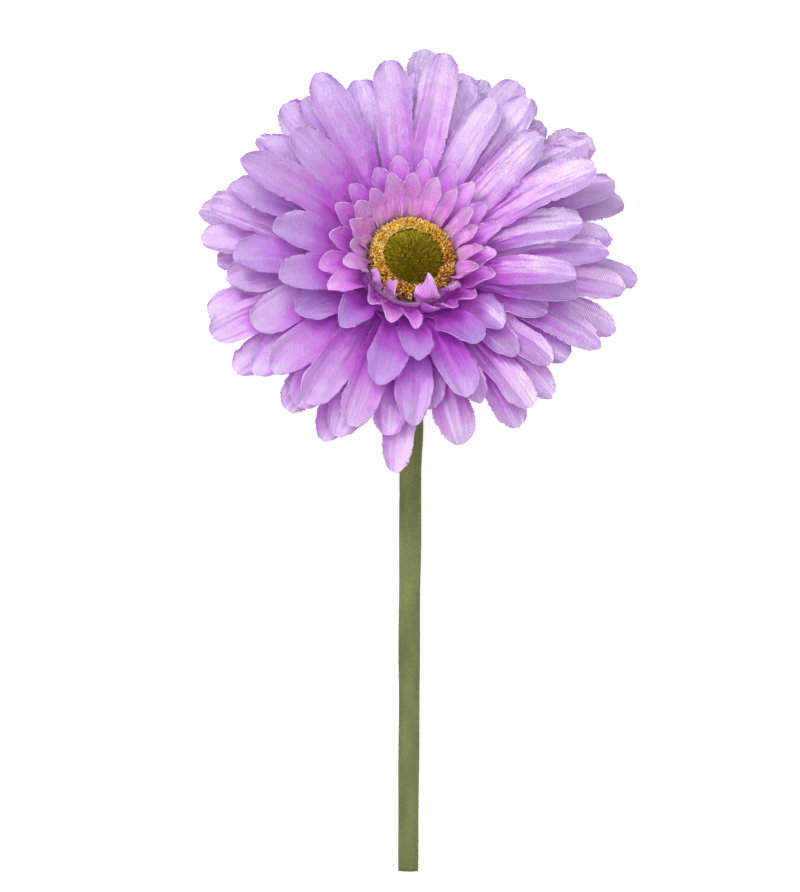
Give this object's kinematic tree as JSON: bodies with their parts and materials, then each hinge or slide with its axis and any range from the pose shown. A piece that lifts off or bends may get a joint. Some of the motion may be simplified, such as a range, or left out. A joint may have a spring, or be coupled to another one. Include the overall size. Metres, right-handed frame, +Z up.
{
  "type": "cut silk gerbera",
  "caption": "Cut artificial gerbera with layered lilac silk petals, a golden fibre ring, a green flocked disc and a slim green stem, laid face up.",
  "frame": {"origin": "on the surface that it lies on, in the middle of its footprint", "axes": "+Z up from the surface, +Y along the stem towards the bloom, +X to the right as seen from above"},
  "size_m": [0.1114, 0.211, 0.05],
  "materials": {
    "petals": "lilac satin weave with a soft sheen and frayed edges",
    "petals_short": "orchid satin weave, paler at the root",
    "ring": "clipped golden and brown fibres",
    "disc": "olive green flock",
    "calyx": "matt moulded green",
    "stem": "flocked green sleeve, slightly mottled",
    "wire": "drawn wire, cut square"
  },
  "bodies": {
    "root": {"calyx": "calyx", "petals_back": "petals", "petals_mid_back": "petals", "petals_middle": "petals", "petals_mid_front": "petals", "petals_front": "petals", "petals_short_outer": "petals_short", "petals_short_inner": "petals_short", "pollen_ring": "ring", "disc": "disc", "stem": "stem", "stem_wire": "wire"}
  },
  "joints": []
}
